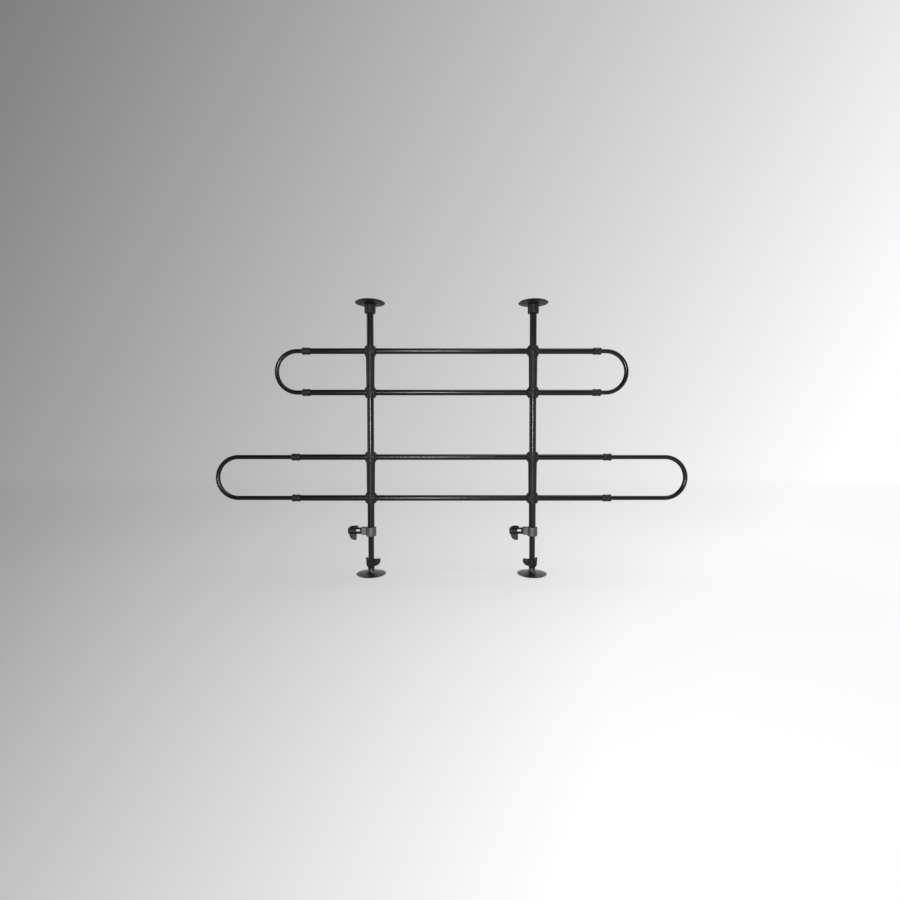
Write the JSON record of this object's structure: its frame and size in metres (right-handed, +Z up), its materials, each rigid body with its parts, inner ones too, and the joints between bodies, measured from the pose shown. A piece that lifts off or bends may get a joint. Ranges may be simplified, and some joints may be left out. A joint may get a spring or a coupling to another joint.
{
  "type": "car dog guard",
  "caption": "Telescopic tubular guard that jacks between the floor and roof of a car boot, with paired cross rails, sliding end loops, screw clamps and round pads.",
  "frame": {"origin": "on the floor, midway between the centres of the two foot pads' undersides", "axes": "+X along the rails, to the right as the picture is seen; +Y away from the viewer, through the guard; +Z up, along the posts"},
  "size_m": [1.313, 0.082, 0.756],
  "materials": {
    "painted_tube": "gloss black paint on steel tube",
    "grey_moulding": "matte dark grey moulding",
    "clamp_plastic": "matte mid grey moulding",
    "black_plastic": "satin black moulding",
    "pad_rubber": "matte",
    "plated_steel": "zinc plated",
    "brass_insert": "turned",
    "glide_plastic": "natural nylon"
  },
  "bodies": {
    "frame": {"left_post": "painted_tube", "left_roof_collar": "grey_moulding", "left_roof_pad": "pad_rubber", "left_clamp_ring": "clamp_plastic", "left_clamp_insert": "brass_insert", "right_post": "painted_tube", "right_roof_collar": "grey_moulding", "right_roof_pad": "pad_rubber", "right_clamp_ring": "clamp_plastic", "right_clamp_insert": "brass_insert", "upper_centre_rail_top": "painted_tube", "upper_centre_rail_bottom": "painted_tube", "upper_left_bracket": "grey_moulding", "upper_left_side_tube_top": "painted_tube", "upper_left_collar_top": "grey_moulding", "upper_left_side_tube_bottom": "painted_tube", "upper_left_collar_bottom": "grey_moulding", "upper_right_bracket": "grey_moulding", "upper_right_side_tube_top": "painted_tube", "upper_right_collar_top": "grey_moulding", "upper_right_side_tube_bottom": "painted_tube", "upper_right_collar_bottom": "grey_moulding", "lower_centre_rail_top": "painted_tube", "lower_centre_rail_bottom": "painted_tube", "lower_left_bracket": "grey_moulding", "lower_left_side_tube_top": "painted_tube", "lower_left_collar_top": "grey_moulding", "lower_left_side_tube_bottom": "painted_tube", "lower_left_collar_bottom": "grey_moulding", "lower_right_bracket": "grey_moulding", "lower_right_side_tube_top": "painted_tube", "lower_right_collar_top": "grey_moulding", "lower_right_side_tube_bottom": "painted_tube", "lower_right_collar_bottom": "grey_moulding"},
    "upper_left_loop": {"upper_left_loop": "painted_tube"},
    "upper_right_loop": {"upper_right_loop": "painted_tube"},
    "lower_left_loop": {"lower_left_loop": "painted_tube"},
    "lower_right_loop": {"lower_right_loop": "painted_tube"},
    "left_lower_leg": {"left_lower_tube": "painted_tube", "left_top_glide": "glide_plastic", "left_end_plug": "black_plastic"},
    "left_adjusting_nut": {"left_adjusting_nut": "black_plastic", "left_nut_insert": "brass_insert"},
    "left_foot": {"left_foot_pad": "pad_rubber", "left_foot_stud": "plated_steel"},
    "left_clamp_tip": {"left_clamp_tip": "glide_plastic"},
    "left_clamp_knob": {"left_clamp_knob": "black_plastic", "left_clamp_stud": "plated_steel"},
    "right_lower_leg": {"right_lower_tube": "painted_tube", "right_top_glide": "glide_plastic", "right_end_plug": "black_plastic"},
    "right_adjusting_nut": {"right_adjusting_nut": "black_plastic", "right_nut_insert": "brass_insert"},
    "right_foot": {"right_foot_pad": "pad_rubber", "right_foot_stud": "plated_steel"},
    "right_clamp_tip": {"right_clamp_tip": "glide_plastic"},
    "right_clamp_knob": {"right_clamp_knob": "black_plastic", "right_clamp_stud": "plated_steel"}
  },
  "joints": [
    {"name": "upper_left_loop_slide", "type": "slide", "parent": "frame", "child": "upper_left_loop", "axis": [-1, 0, 0], "range_m": [-0.008, 0.11]},
    {"name": "upper_right_loop_slide", "type": "slide", "parent": "frame", "child": "upper_right_loop", "axis": [1, 0, 0], "range_m": [-0.008, 0.11]},
    {"name": "lower_left_loop_slide", "type": "slide", "parent": "frame", "child": "lower_left_loop", "axis": [-1, 0, 0], "range_m": [-0.14, 0.02]},
    {"name": "lower_right_loop_slide", "type": "slide", "parent": "frame", "child": "lower_right_loop", "axis": [1, 0, 0], "range_m": [-0.14, 0.02]},
    {"name": "left_leg_slide", "type": "slide", "parent": "frame", "child": "left_lower_leg", "axis": [0, 0, -1], "range_m": [-0.058, 0.31]},
    {"name": "left_nut_turn", "type": "hinge", "parent": "left_lower_leg", "child": "left_adjusting_nut", "pos_m": [-0.225, 0, 0.0317], "axis": [0, 0, 1], "range_deg": [0, 7200]},
    {"name": "left_foot_slide", "type": "slide", "parent": "left_lower_leg", "child": "left_foot", "axis": [0, 0, -1], "range_m": [0, 0.025]},
    {"name": "left_tip_slide", "type": "slide", "parent": "frame", "child": "left_clamp_tip", "axis": [-1, 0, 0], "range_m": [0, 0.003]},
    {"name": "left_knob_turn", "type": "hinge", "parent": "left_clamp_tip", "child": "left_clamp_knob", "pos_m": [-0.26, 0, 0.1228], "axis": [-1, 0, 0], "range_deg": [0, 1080]},
    {"name": "right_leg_slide", "type": "slide", "parent": "frame", "child": "right_lower_leg", "axis": [0, 0, -1], "range_m": [-0.058, 0.31]},
    {"name": "right_nut_turn", "type": "hinge", "parent": "right_lower_leg", "child": "right_adjusting_nut", "pos_m": [0.225, 0, 0.0317], "axis": [0, 0, 1], "range_deg": [0, 7200]},
    {"name": "right_foot_slide", "type": "slide", "parent": "right_lower_leg", "child": "right_foot", "axis": [0, 0, -1], "range_m": [0, 0.025]},
    {"name": "right_tip_slide", "type": "slide", "parent": "frame", "child": "right_clamp_tip", "axis": [-1, 0, 0], "range_m": [0, 0.003]},
    {"name": "right_knob_turn", "type": "hinge", "parent": "right_clamp_tip", "child": "right_clamp_knob", "pos_m": [0.19, 0, 0.1228], "axis": [-1, 0, 0], "range_deg": [0, 1080]}
  ],
  "couplings": [
    {"joint": "left_nut_turn", "follows": "left_foot_slide", "rad_per_m": 5026.5},
    {"joint": "left_knob_turn", "follows": "left_tip_slide", "rad_per_m": 6283.2},
    {"joint": "right_nut_turn", "follows": "right_foot_slide", "rad_per_m": 5026.5},
    {"joint": "right_knob_turn", "follows": "right_tip_slide", "rad_per_m": 6283.2}
  ]
}
